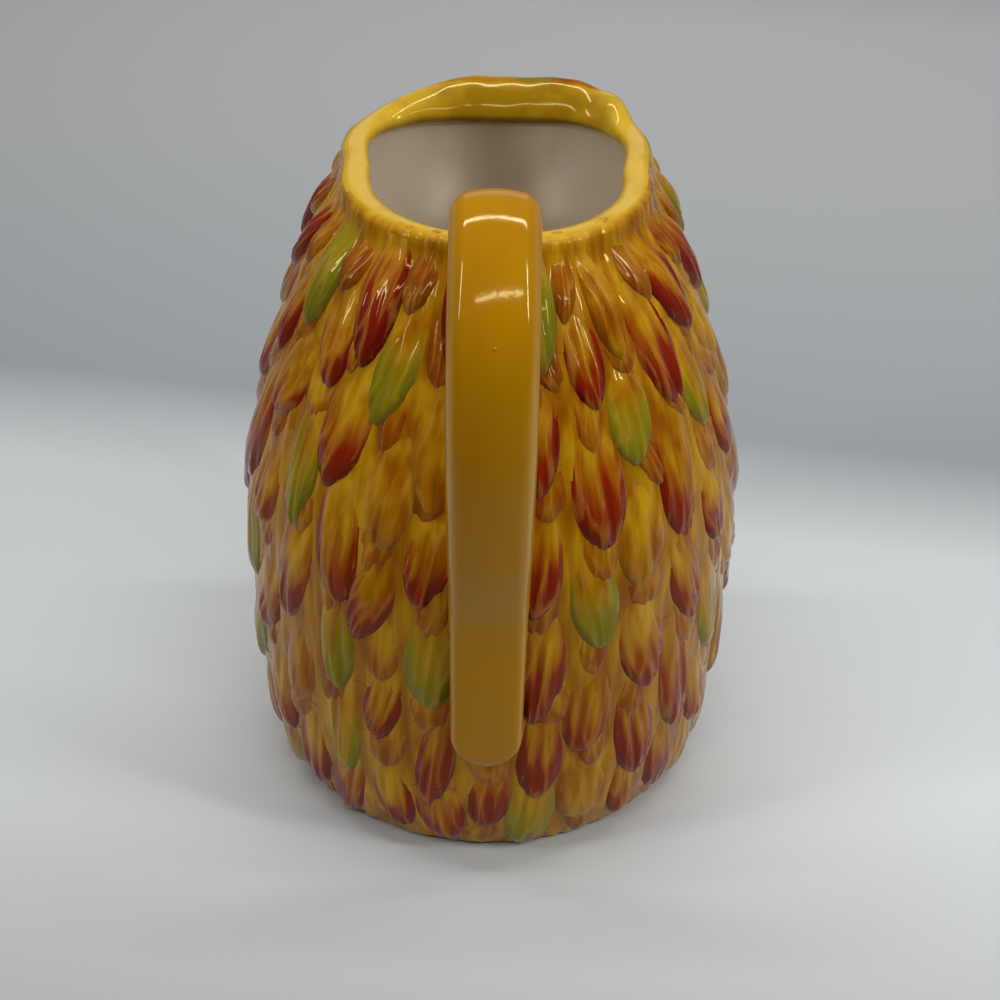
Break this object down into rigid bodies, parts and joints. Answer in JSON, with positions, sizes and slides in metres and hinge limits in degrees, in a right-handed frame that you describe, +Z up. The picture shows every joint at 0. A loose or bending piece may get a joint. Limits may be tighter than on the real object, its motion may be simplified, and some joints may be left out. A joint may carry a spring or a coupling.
{
  "type": "hedgehog pitcher",
  "caption": "Round glazed ceramic pitcher shaped as a hedgehog, with rows of leaf-shaped quills, a drawn pouring lip and a looped strap handle; it holds and pours a drink.",
  "frame": {"origin": "centre of the flat foot, on the table", "axes": "+Z up the pitcher, -Y towards the spout and the face, +Y towards the handle, +X to the hedgehog's left"},
  "size_m": [0.1614, 0.214, 0.2226],
  "materials": {
    "amber_glaze": "amber glaze, glossy, over a wall that is off-white inside",
    "yellow_glaze": "bright yellow glaze, glossy",
    "honey_glaze": "honey yellow glaze, glossy, with a few pits",
    "quill_glaze": "gold to orange to red glaze running to maroon or green at the points, glossy",
    "cream_glaze": "pale cream glaze, glossy",
    "black_glaze": "black glaze, glossy"
  },
  "bodies": {
    "root": {"body_shell": "amber_glaze", "rim_coil": "yellow_glaze", "pouring_lip": "yellow_glaze", "handle": "honey_glaze", "quill_row_01": "quill_glaze", "quill_row_02": "quill_glaze", "quill_row_03": "quill_glaze", "quill_row_04": "quill_glaze", "quill_row_05": "quill_glaze", "quill_row_06": "quill_glaze", "quill_row_07": "quill_glaze", "quill_row_08": "quill_glaze", "quill_row_09": "quill_glaze", "quill_row_10": "quill_glaze", "quill_row_11": "quill_glaze", "face_mask": "cream_glaze", "snout": "cream_glaze", "left_ear": "cream_glaze", "right_ear": "cream_glaze", "nose": "black_glaze", "left_eye": "black_glaze", "right_eye": "black_glaze"}
  },
  "joints": []
}
